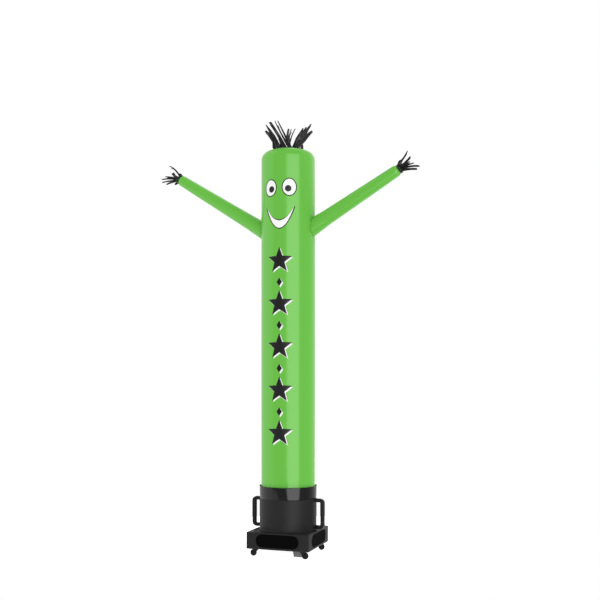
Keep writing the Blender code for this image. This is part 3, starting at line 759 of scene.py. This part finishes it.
handRows = {
    "Right": (
        (26, 51, 85, 78, 142, -10, -14, 20, 14, 6),
        (8, 19, 40, 76, 137, 6, 10, 24, 21, 10),
        (-5, -17, -36, 80, 135, -18, -24, 20, 14, 6),
        (-8, -37, -87, 89, 162, 0, -48, 20, 12, 5),
        (-14, -44, -101, 87, 163, -8, -56, 14, 9, 4),
        (-16, -44, -81, 74, 129, 10, 14, 22, 17, 12),
        (-22, -38, -52, 42, 66, -16, -20, 14, 14, 10),
        (20, 37, 35, 42, 66, -20, -28, 26, 30, 14),
        (4, 2, -3, 46, 88, -26, -34, 26, 26, 6),
        (10, 14, 20, 60, 110, 24, 44, 16, 12, 6),
    ),
    "Left": (
        (16, 49, 54, 88, 162, -10, -14, 16, 12, 5),
        (24, 36, 32, 34, 58, 8, 12, 22, 22, 12),
        (10, 4, 17, 56, 94, -20, -28, 20, 19, 21),
        (2, -18, -48, 88, 161, 4, 6, 18, 12, 6),
        (-4, -36, -83, 82, 142, -6, -56, 20, 13, 8),
        (-12, -52, -105, 76, 132, 14, -44, 20, 13, 8),
        (-18, -53, -100, 58, 98, -14, -20, 22, 16, 12),
        (-24, -43, -62, 24, 40, 4, 6, 20, 20, 12),
        (4, -4, -20, 58, 104, 26, 46, 16, 12, 6),
    ),
}
ribbon = {"across": 10, "along": 30, "thick": 0.0004, "pleat": 0.12, "curl": 0.25, "crumple": 0.06, "fray": 0.05,
          "fuller": 1.3}


def addRibbon(work, row, rootOut, axes, seed):
    # one pleated strip through its root, middle and tip
    side, out, back = axes
    row = dict(zip(ribbonColumns, row))
    rootPoint = side * row["side"] + out * rootOut + back * row["depth"]
    midPoint = side * row["midSide"] + out * row["midOut"] + back * (row["depth"] + row["tipDepth"]) / 2
    tipPoint = side * row["tipSide"] + out * row["tipOut"] + back * row["tipDepth"]
    grid = bmesh.ops.create_grid(work, x_segments=ribbon["across"], y_segments=ribbon["along"], size=1.0)
    folds = 1 + seed % 3
    for vert in grid["verts"]:
        across = vert.co.x
        # ragged ends: some threads of the tip are shorter than others
        along = (vert.co.y + 1) / 2 * (1 - ribbon["fray"] * abs(ripple(across * 2.3, seed * 1.7, 0.3)))
        centre = (rootPoint * (1 - along) * (1 - 2 * along) + midPoint * 4 * along * (1 - along)
                  + tipPoint * along * (2 * along - 1))
        slope = rootPoint * (4 * along - 3) + midPoint * (4 - 8 * along) + tipPoint * (4 * along - 1)
        crosswise = back.cross(slope).normalized()
        if crosswise.dot(side) < 0:
            crosswise.negate()
        lowHalf = along < 0.5
        start, end = ("wide", "midWide") if lowHalf else ("midWide", "tipWide")
        wide = row[start] + (row[end] - row[start]) * (along * 2 if lowHalf else along * 2 - 1)
        facing = slope.cross(crosswise).normalized()
        curl = ribbon["curl"] * ripple(seed * 3.1, along * 1.5, 2.0) * along * 2
        crosswise, facing = (crosswise * cos(curl) + facing * sin(curl),
                             facing * cos(curl) - crosswise * sin(curl))
        pleat = ribbon["pleat"] * wide * sin(across * pi * folds + seed)
        crumple = ribbon["crumple"] * wide * ripple(across * 2, along * 14, seed)
        wide *= 1 + (ribbon["fuller"] - 1) * along
        vert.co = centre + crosswise * across * wide / 2 + facing * (pleat + crumple)


companion = {"short": 0.90, "shortVaries": 0.08, "deeper": 0.006, "tipDeeper": 0.010, "slim": 0.5, "midSlim": 0.32,
             "least": 0.004}


def companionRow(row, seed, spread):
    # a slimmer, shorter strip beside a ribbon, as its cut edge gives
    away = ripple(seed * 2.7, 0.4, 1.1)
    short = companion["short"] + companion["shortVaries"] * ripple(seed * 1.3, 2.2, 0.7)
    slim = companion["slim"]
    side, midSide, tipSide, midOut, tipOut, depth, tipDepth, wide, midWide, tipWide = row
    lean = spread * (1 if away > 0 else -1) * (0.5 + abs(away))
    return (side + lean * 0.2, midSide + lean * 0.5, side + (tipSide - side) * short + lean,
            midOut * (0.98 + 0.02 * away), tipOut * short, depth + companion["deeper"],
            tipDepth + companion["tipDeeper"], wide * slim, midWide * companion["midSlim"],
            max(companion["least"], tipWide * slim))


def tieRibbons(work, rows, roots, axes, bunch):
    # each ribbon with its companion, drawn from the bunch's own seeds
    for number, (row, root) in enumerate(zip(rows, roots)):
        seed = bunch["firstSeed"] + bunch["seedStep"] * number
        addRibbon(work, row, root, axes, seed)
        addRibbon(work, companionRow(row, seed + 1, bunch["spread"]), root, axes, seed + 1)


def finishRibbons(name, work, node):
    layClothMap(work, asStrips)
    # the pleats and crumples don't stretch the cloth, so its surface is the area that it was cut to
    area = sum(face.calc_area() for face in work.faces)
    piece = addPiece(name, work, [blackNylon], node, thick=ribbon["thick"])


hair = {"fanTurn": 19, "patchR": 0.126, "patchThick": 0.003, "patchFlat": (0.252, 0.252), "patchArea": 0.0499,
        "patchStep": 0.009, "patchSegments": 80, "rootSunk": 0.4,
        "firstSeed": 0, "seedStep": 2, "spread": 0.008, "long": 0.29, "meanLong": 0.25}


def makeHair():
    turn = radians(hair["fanTurn"])
    axes = (Vector((cos(turn), sin(turn), 0)), Vector((0, 0, 1)),
            Vector((-sin(turn), cos(turn), 0)))
    rows = [[size / 1000 for size in row] for row in hairRows]
    # each root sinks into the patch where its inner edge stands
    roots = [crownHeight(hypot(max(abs(row[0]) - row[7] / 2, 0), row[5]), hair["patchThick"] * hair["rootSunk"])
             - tube["headTop"] for row in rows]
    work = bmesh.new()
    tieRibbons(work, rows, roots, axes, hair)
    transform(work, Matrix.Translation((0, 0, tube["headTop"])))
    finishRibbons("hairRibbons", work, "hair")
    patch = bmesh.new()
    spinProfile(patch, [(r, crownHeight(r, tube["gap"] + hair["patchThick"] * (1 - (r / hair["patchR"]) ** 6)))
                        for r in steps(0.0, hair["patchR"], hair["patchStep"])], hair["patchSegments"])
    layClothMap(patch, asStrips)
    disc = addPiece("hairPatch", patch, [blackNylon])


# The gathered head that closes a wrist: steps off its radius and shares of its height, and its ribbons.
wristHead = {"height": 0.028, "rootDeep": 0.016, "gathers": 16, "gatherDepth": 0.0014, "segments": 64,
             "profile": ((0.002, 0.18), (0.003, 0.42), (0.0005, 0.66), (-0.003, 0.80), (-0.010, 0.93),
                         (-0.018, 1.0)),
             "firstSeed": 50, "seedStep": 3, "spread": 0.007, "long": 0.16, "meanLong": 0.135}


def makeWristFringe(side, arm):
    radius, high = arm["wrist"], wristHead["height"]
    work = bmesh.new()
    spinProfile(work, [(radius - 0.004, -0.006), (radius - 0.0004, 0.0)]
                + [(radius + off, high * share) for off, share in wristHead["profile"]]
                + [(0.0, high * 1.02)], wristHead["segments"])
    for vert in work.verts:
        turn = atan2(vert.co.y, vert.co.x)
        pull = wristHead["gatherDepth"] * (cos(wristHead["gathers"] * turn)
                                           + ripple(vert.co.x * 60, vert.co.y * 60, 0))
        reach = vert.co.xy.length
        if reach > 1e-5 and vert.co.z > 0.001:
            vert.co.xy *= (reach + pull) / reach
    axes = (Vector((-arm["sign"], 0, 0)), Vector((0, 0, 1)), Vector((0, 1, 0)))
    rows = [[size / 1000 for size in row] for row in handRows[side]]
    deep = wristHead["rootDeep"]
    roots = steps(high - deep, high - deep / 2, deep / 2 / (len(rows) - 1))
    tieRibbons(work, rows, roots, axes, wristHead)
    transform(work, armFrame(arm), Matrix.Translation((0, 0, arm["length"])))
    finishRibbons("wristFringe" + side, work, "tassel_" + side.lower())


makeHair()
for side, arm in arms.items():
    makeWristFringe(side, arm)
print("ribbons are tied")


# The collar band over the hem. Its ends overlap at the back.
band = {"edge": 0.0008, "rowStep": 0.0045, "innerStep": 0.03,
        "segments": 160, "flatSize": (1.52, 0.108), "seamWide": 0.020, "overlap": 0.0009}


def makeCollarBand():
    low, top, thick, edge = tube["collarLow"], tube["collarTop"], tube["collarThick"], band["edge"]
    profile = [(collarRadius(low) - thick, low), (collarRadius(low) - edge, low)]
    for z in steps(low + edge, top - edge, band["rowStep"]):
        aside = (2 * z - low - top) / (top - low)
        profile.append((collarRadius(z) + tube["collarCrown"] * (1 - aside * aside), z))
    profile += [(collarRadius(top) - edge, top), (collarRadius(top) - thick, top)]
    profile += [(collarRadius(z) - thick, z) for z in steps(top - edge, low, band["innerStep"])]
    work = bmesh.new()
    spinProfile(work, profile, band["segments"])
    for vert in work.verts:
        if (pi - abs(frontAngle(vert.co))) * tube["radius"] < band["seamWide"]:
            vert.co.xy *= 1 + band["overlap"] / tube["radius"]
    layClothMap(work, unrolled(tube["collarLowR"]))
    piece = addPiece("collarBand", work, [bandVinyl], "collar", sharp=60)


makeCollarBand()
print("collar band is strapped on")


# The blower: drum with its neck, handles, and the square base with its inlets.
drum = {"radius": 0.2415, "low": 0.2043, "top": 0.4685, "wall": 0.006, "flare": 0.008, "flareFoot": 0.0012,
        "neckR": 0.2372, "neckTop": 0.535, "neckWall": 0.005, "edge": 0.0010, "segments": 144,
        "wallFrom": 0.02, "wallStep": 0.03}
handle = {"reach": 0.0805, "top": 0.4675, "bottom": 0.2125, "thick": 0.030, "grip": 0.0335, "wide": 0.040,
          "corner": 0.036, "rounding": 0.009, "sunk": 0.004}
base = {"half": 0.272, "bottom": 0.064, "top": 0.204, "wall": 0.006, "edge": 0.007, "deckHoleR": 0.222,
        "inletHalfWide": 0.188, "inletHalfTall": 0.0545, "inletZ": 0.1365, "inletSegments": 56,
        "rimWide": 0.006, "rimProud": 0.0016, "holeEdge": 0.0012,
        "leastSide": 0.02}      # square metres: a smaller face is part of a bevel


def makeDrumShell():
    radius, low, top, flare, edge = (drum[key] for key in ("radius", "low", "top", "flare", "edge"))
    inside, foot, neckR, neckTop = radius - drum["wall"], low + drum["flareFoot"], drum["neckR"], drum["neckTop"]
    profile = [(radius + flare, low), (radius + flare, foot)]
    profile += arc(radius + flare, foot + flare, flare, 260, 180, 16)
    profile += [(radius, z) for z in steps(low + drum["wallFrom"], top - edge, drum["wallStep"])]
    profile += arc(radius - edge, top - edge, edge, 0, 90, 22.5)[1:]
    profile += [(neckR, top), (neckR, neckTop - 0.001), (neckR - 0.001, neckTop),
                (neckR - drum["neckWall"], neckTop), (neckR - drum["neckWall"], top - drum["wall"]),
                (inside, top - 2 * drum["wall"]), (inside, low), (radius + flare, low)]
    work = bmesh.new()
    spinProfile(work, profile, drum["segments"])
    addPiece("drumShell", work, [shellPlastic], "drum", sharp=50)


def makeHandle(side, sign):
    # a rounded bar, carried out of the wall, round two corners and back
    thick, corner = handle["thick"], handle["corner"]
    work = bmesh.new()
    bmesh.ops.create_grid(work, x_segments=1, y_segments=1, size=0.5)
    transform(work, Matrix.Diagonal((handle["wide"], thick, 1, 1)))
    bmesh.ops.bevel(work, geom=work.verts[:], offset=handle["rounding"], segments=5, profile=0.5,
                    affect="VERTICES", material=-1)
    # the section stands across +X, its thickness upright
    start, reach = drum["radius"] - handle["sunk"], drum["radius"] + handle["reach"]
    transform(work, Matrix.Translation((start, 0, handle["top"] - thick / 2)),
              Matrix(((0, 0, 1, 0), (1, 0, 0, 0), (0, 1, 0, 0), (0, 0, 0, 1))))

    def carry(faces, move):
        ended = extrudeBy(work, faces, move)
        bmesh.ops.delete(work, geom=[f for f in faces if f.is_valid], context="FACES_ONLY")
        return ended

    def turnCorner(faces, centre):
        around = {item for face in faces for item in (*face.verts, *face.edges, face)}
        made = bmesh.ops.spin(work, geom=list(around), cent=centre, axis=(0, 1, 0), angle=pi / 2,
                              steps=8, use_merge=False)
        bmesh.ops.delete(work, geom=[f for f in faces if f.is_valid], context="FACES_ONLY")
        return [item for item in made["geom_last"] if isinstance(item, bmesh.types.BMFace)]

    straight = reach - corner - start
    end = carry(work.faces[:], (straight, 0, 0))
    end = turnCorner(end, (reach - corner, 0, handle["top"] - corner))
    end = carry(end, (0, 0, handle["bottom"] - handle["top"] + 2 * corner))
    end = turnCorner(end, (reach - corner, 0, handle["bottom"] + corner))
    carry(end, (-straight, 0, 0))
    bmesh.ops.remove_doubles(work, verts=work.verts, dist=1e-6)
    # the upright grip is a little thicker than the two arms
    for vert in work.verts:
        inwards = reach - vert.co.x
        if inwards < thick:
            vert.co.x = reach - inwards * handle["grip"] / thick
        elif inwards < corner:
            vert.co.x = reach - corner + (corner - inwards) * (corner - handle["grip"]) / (corner - thick)
    transform(work, Matrix.Diagonal((sign, 1, 1, 1)))
    bmesh.ops.recalc_face_normals(work, faces=work.faces)
    addPiece("grabHandle" + side, work, [shellPlastic], "handle_" + side.lower())


def inletFace(work, grow, out, quarter):
    # a face in the inlet's shape, that much larger, out in front of one of the four sides
    segments = base["inletSegments"]
    verts = bmesh.ops.create_circle(work, cap_ends=True, segments=segments,
                                    radius=base["inletHalfTall"] + grow)["verts"]
    transform(work, Matrix.Rotation(pi / segments, 4, "Z"), verts=verts)
    straight = base["inletHalfWide"] - base["inletHalfTall"]
    for vert in verts:
        vert.co.x += copysign(straight, vert.co.x)
    transform(work, Matrix.Rotation(quarter * pi / 2, 4, "Z"),
              Matrix.Translation((0, -base["half"] - out, base["inletZ"])), Matrix.Rotation(pi / 2, 4, "X"),
              verts=verts)
    return verts[0].link_faces[0]


def makeBaseShell():
    # a bevelled box, whose sides are refilled round the inlets and whose deck is refilled round the fan's hole
    half, low, high = base["half"], base["bottom"], base["top"]
    work = bmesh.new()
    bmesh.ops.create_cube(work, size=1.0, matrix=Matrix.Translation((0, 0, (high + low) / 2))
                          @ Matrix.Diagonal((2 * half, 2 * half, high - low, 1)))
    bmesh.ops.bevel(work, geom=work.edges[:], offset=base["edge"], segments=4, profile=0.5,
                    affect="EDGES", material=-1)
    for face in [face for face in work.faces if face.calc_area() > base["leastSide"] and face.normal.z > -0.5]:
        normal = face.normal.copy()
        rim = list(face.edges)
        bmesh.ops.delete(work, geom=[face], context="FACES_ONLY")
        if normal.z > 0.5:
            ring = bmesh.ops.create_circle(work, cap_ends=False, segments=96, radius=base["deckHoleR"],
                                           matrix=Matrix.Translation((0, 0, high)))["verts"]
            hole = list({edge for vert in ring for edge in vert.link_edges})
        else:
            inlet = inletFace(work, 0.0, 0.0, round(atan2(normal.x, -normal.y) / (pi / 2)))
            hole = list(inlet.edges)
            bmesh.ops.delete(work, geom=[inlet], context="FACES_ONLY")
        bmesh.ops.triangle_fill(work, use_beauty=True, use_dissolve=False, edges=rim + hole)
    bmesh.ops.recalc_face_normals(work, faces=work.faces)
    piece = addPiece("baseShell", work, [shellPlastic], "housing", thick=base["wall"])
    roundEdges(piece, base["holeEdge"], 50, harden=True)


def makeInletRims():
    # a raised lip moulded round each inlet, stepped inwards from its outer edge
    work = bmesh.new()
    wide, proud = base["rimWide"], base["rimProud"]
    section = ((wide, -0.0004), (wide * 0.8, proud * 0.6), (wide * 0.5, proud), (0.0010, proud),
               (0.0001, proud * 0.5), (0.0, -0.0035))
    for quarter in range(4):
        inner = inletFace(work, *section[0], quarter)
        for (grow, out), (nextGrow, nextOut) in zip(section, section[1:]):
            bmesh.ops.inset_individual(work, faces=[inner], thickness=grow - nextGrow, depth=nextOut - out,
                                       use_even_offset=True)
        bmesh.ops.delete(work, geom=[inner], context="FACES_ONLY")
    addPiece("inletRims", work, [shellPlastic], sharp=70)


meshWire = {"pitch": 0.0062, "thick": 0.0014, "flat": 0.7, "apart": 0.45, "setback": 0.0016}


def makeInletMeshes():
    # two crossing layers of wire in each inlet, in front of the grille plate that is painted near black as the shade
    # inside the blower
    tall, wide, thick, pitch = base["inletHalfTall"], base["inletHalfWide"], meshWire["thick"], meshWire["pitch"]
    straight, front, middle = wide - tall, meshWire["setback"] - base["half"], base["inletZ"]
    deep, behind = thick * meshWire["flat"], front - thick * meshWire["apart"]
    wires = []
    for x in steps(-wide + pitch, wide - pitch, pitch):
        reach = sqrt(tall ** 2 - max(0.0, abs(x) - straight) ** 2)
        wires.append(((x, front, middle), (thick, deep, 2 * reach, 1)))
    for z in steps(-tall + pitch, tall - pitch, pitch):
        reach = straight + sqrt(tall ** 2 - z ** 2)
        wires.append(((0, behind, middle + z), (2 * reach, deep, thick, 1)))
    for quarter, name in enumerate(("Front", "Right", "Back", "Left")):
        work = bmesh.new()
        for place, size in wires:
            bmesh.ops.create_cube(work, size=1.0, matrix=Matrix.Translation(place) @ Matrix.Diagonal(size))
        transform(work, Matrix.Rotation(quarter * pi / 2, 4, "Z"))
        addPiece("inletMesh" + name, work, [meshSteel], sharp=30)


makeDrumShell()
makeHandle("Right", 1)
makeHandle("Left", -1)
makeBaseShell()
makeInletRims()
makeInletMeshes()
# the grille plates take the painted shade of the blower's inside, and the park foot takes its grey paint
for name, finish in (("grille_front", inletShadeBacking), ("grille_back", inletShadeBacking), ("grille_left", inletShadeBacking),
                     ("grille_right", inletShadeBacking), ("park_foot", footSteel)):
    frame["nodes"][name].data.materials.clear()
    frame["nodes"][name].data.materials.append(finish)
print("blower is dressed")


# Castors: a pressed fork that swivels and a wheel that rolls in it.
castor = {"crownR": 0.021, "crownLow": 0.0572, "crownTop": 0.0637, "trail": 0.032, "wheelR": 0.0275,
          "wheelHalf": 0.011, "plate": 0.003, "inner": 0.0125, "bossR": 0.011, "legBack": 0.018,
          "legAhead": 0.020, "axleR": 0.004, "nutR": 0.0062, "nutHigh": 0.0022,
          "legTop": 0.0627, "edge": 0.0006,
          # half the wheel's section, from its hub over the dished side to the tread: reach and depth
          "section": ((0.0044, 0.0), (0.0085, 0.0), (0.0092, 0.0012), (0.0165, 0.0022), (0.0175, 0.0004),
                      (0.0230, 0.0), (0.0263, 0.0022), (0.0275, 0.0052))}


def addDisc(work, radius, low, high, matrix, segments):
    # a short round post from low to high along its own Z
    bmesh.ops.create_cone(work, cap_ends=True, segments=segments, radius1=radius, radius2=radius,
                          depth=high - low, matrix=matrix @ Matrix.Translation((0, 0, (high + low) / 2)))


def makeFork(corner, swivel, direction):
    work = bmesh.new()
    inner, outer = castor["inner"], castor["inner"] + castor["plate"]
    addDisc(work, castor["crownR"], castor["crownLow"], castor["crownTop"], Matrix.Identity(4), 40)
    for low in (-outer, inner):
        outline = [(-castor["legBack"], castor["legTop"]), (castor["legAhead"], castor["legTop"])]
        outline += arc(castor["trail"], castor["wheelR"], castor["bossR"], 20, -150, 12)
        leg = work.faces.new([work.verts.new((x, low, z)) for x, z in outline])
        extrudeBy(work, [leg], (0, castor["plate"], 0))
    axle = Matrix.Translation((castor["trail"], 0, castor["wheelR"])) @ Matrix.Rotation(pi / 2, 4, "X")
    reach = outer + castor["nutHigh"]
    for radius, low, high, segments in ((castor["axleR"], -reach, reach, 16),
                                        (castor["nutR"], -reach, -outer, 6), (castor["nutR"], outer, reach, 6)):
        addDisc(work, radius, low, high, axle, segments)
    bmesh.ops.recalc_face_normals(work, faces=work.faces)
    transform(work, Matrix.Translation((swivel.x, swivel.y, 0)), direction)
    piece = addPiece("castorFork_" + corner, work, [castorSteel], "fork_" + corner,
                     body="castor_" + corner, sharp=35)
    roundEdges(piece, castor["edge"], 40)


def makeWheel(corner, place, direction):
    profile = [(reach, depth - castor["wheelHalf"]) for reach, depth in castor["section"]]
    profile += [(r, -z) for r, z in profile[::-1]]
    work = bmesh.new()
    spinProfile(work, profile + profile[:1], 56)
    transform(work, Matrix.Translation(place), direction, Matrix.Rotation(pi / 2, 4, "X"))
    bmesh.ops.recalc_face_normals(work, faces=work.faces)
    addPiece("castorWheel_" + corner, work, [castorTyre], "wheel_" + corner,
             body="roller_" + corner, sharp=50)


places = {joint["name"]: Vector(joint["pos_m"]) for joint in frame["joints"]}
for corner in ("fl", "fr", "bl", "br"):
    swivel, roll = places["swivel_" + corner], places["roll_" + corner]
    direction = Matrix.Rotation(atan2(roll.y - swivel.y, roll.x - swivel.x), 4, "Z")
    makeFork(corner, swivel, direction)
    makeWheel(corner, roll, direction)
print("castors are in")
